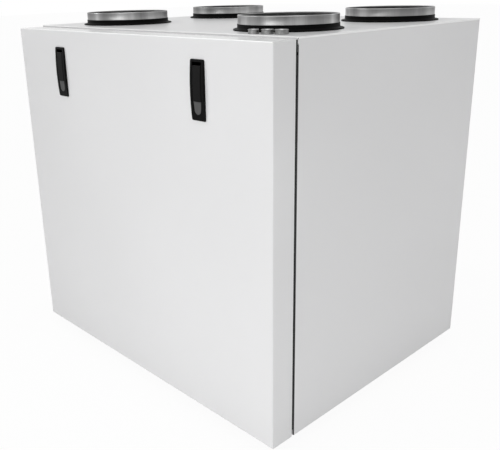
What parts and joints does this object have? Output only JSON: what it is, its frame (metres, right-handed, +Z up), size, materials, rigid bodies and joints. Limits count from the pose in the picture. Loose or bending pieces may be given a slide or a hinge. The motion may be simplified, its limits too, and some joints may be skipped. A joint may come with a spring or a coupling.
{
  "type": "heat recovery ventilation unit",
  "caption": "Upright ventilation unit with heat recovery: round duct spigots on top, tilting insulated door on latches, counterflow exchanger, filters, fans and bypass inside.",
  "frame": {"origin": "centre of the footprint at floor level, under the feet", "axes": "+X to the right as seen from the door, +Y from the door to the rear, +Z up"},
  "size_m": [0.676, 0.5571, 0.668],
  "materials": {
    "white_paint": "white powder coat, fine texture, satin",
    "galvanised": "galvanised sheet, drawn bright",
    "rubber": "black moulded rubber, satin",
    "black_plastic": "black moulded plastic, glossy",
    "grey_plastic": "grey moulded plastic, satin",
    "foam": "dark grey expanded foam, beads showing",
    "zinc_steel": "zinc plated",
    "cast_aluminium": "die cast, matt",
    "wheel_plastic": "glass filled plastic, matt",
    "card": "stiff board, matt",
    "fleece": "pleated fleece",
    "exchanger_plastic": "thin translucent plates",
    "aluminium_sheet": "mill finish sheet",
    "webbing": "woven strap",
    "board": "green solder mask"
  },
  "bodies": {
    "case": {"back_panel": "white_paint", "base_panel": "white_paint", "bypass_actuator": "grey_plastic", "bypass_block": "foam", "cable_glands": "grey_plastic", "circuit_board": "board", "collar_front_left": "rubber", "collar_front_right": "rubber", "collar_rear_left": "rubber", "collar_rear_right": "rubber", "condensate_tray": "grey_plastic", "control_box": "grey_plastic", "control_cover": "grey_plastic", "door_rods": "zinc_steel", "exchanger_caps": "aluminium_sheet", "exchanger_core": "exchanger_plastic", "exchanger_strap": "webbing", "fan_motor_left": "cast_aluminium", "fan_motor_right": "cast_aluminium", "feet": "rubber", "filter_frame_left": "card", "filter_frame_right": "card", "filter_media_left": "fleece", "filter_media_right": "fleece", "foam_back": "foam", "foam_base": "foam", "foam_divider": "foam", "foam_partitions": "foam", "foam_shelves": "foam", "foam_side_left": "foam", "foam_side_right": "foam", "foam_sleeves": "foam", "foam_top": "foam", "front_rail": "galvanised", "inlet_cones": "galvanised", "latch_keepers": "galvanised", "panel_screws": "zinc_steel", "scroll_housing_left": "galvanised", "scroll_housing_right": "galvanised", "side_panel_left": "white_paint", "side_panel_right": "white_paint", "spigot_front_left": "galvanised", "spigot_front_right": "galvanised", "spigot_rear_left": "galvanised", "spigot_rear_right": "galvanised", "temperature_probes": "zinc_steel", "top_panel": "white_paint"},
    "door": {"door_skin": "white_paint", "door_insulation": "foam", "door_liner": "galvanised", "door_seal": "rubber", "door_hooks": "zinc_steel", "latch_housing_left": "black_plastic", "latch_housing_right": "black_plastic", "latch_pins": "zinc_steel"},
    "lever_left": {"latch_lever_left": "black_plastic"},
    "lever_right": {"latch_lever_right": "black_plastic"},
    "wheel_left": {"impeller_left": "wheel_plastic"},
    "wheel_right": {"impeller_right": "wheel_plastic"},
    "flap": {"bypass_flap": "grey_plastic"}
  },
  "joints": [
    {"name": "door_tilt", "type": "hinge", "parent": "case", "child": "door", "pos_m": [0, -0.26165, 0.03], "axis": [1, 0, 0], "range_deg": [0, 40]},
    {"name": "lever_left_swing", "type": "hinge", "parent": "door", "child": "lever_left", "pos_m": [-0.191, -0.27015, 0.5978], "axis": [-1, 0, 0], "range_deg": [0, 70]},
    {"name": "lever_right_swing", "type": "hinge", "parent": "door", "child": "lever_right", "pos_m": [0.191, -0.27015, 0.5978], "axis": [-1, 0, 0], "range_deg": [0, 70]},
    {"name": "wheel_left_spin", "type": "hinge", "parent": "case", "child": "wheel_left", "pos_m": [-0.17, 0.13635, 0.175], "axis": [0, 1, 0], "continuous": true},
    {"name": "wheel_right_spin", "type": "hinge", "parent": "case", "child": "wheel_right", "pos_m": [0.17, 0.13635, 0.175], "axis": [0, 1, 0], "continuous": true},
    {"name": "flap_turn", "type": "hinge", "parent": "case", "child": "flap", "pos_m": [0, 0.05435, 0.33], "axis": [0, 1, 0], "range_deg": [0, 90]}
  ]
}
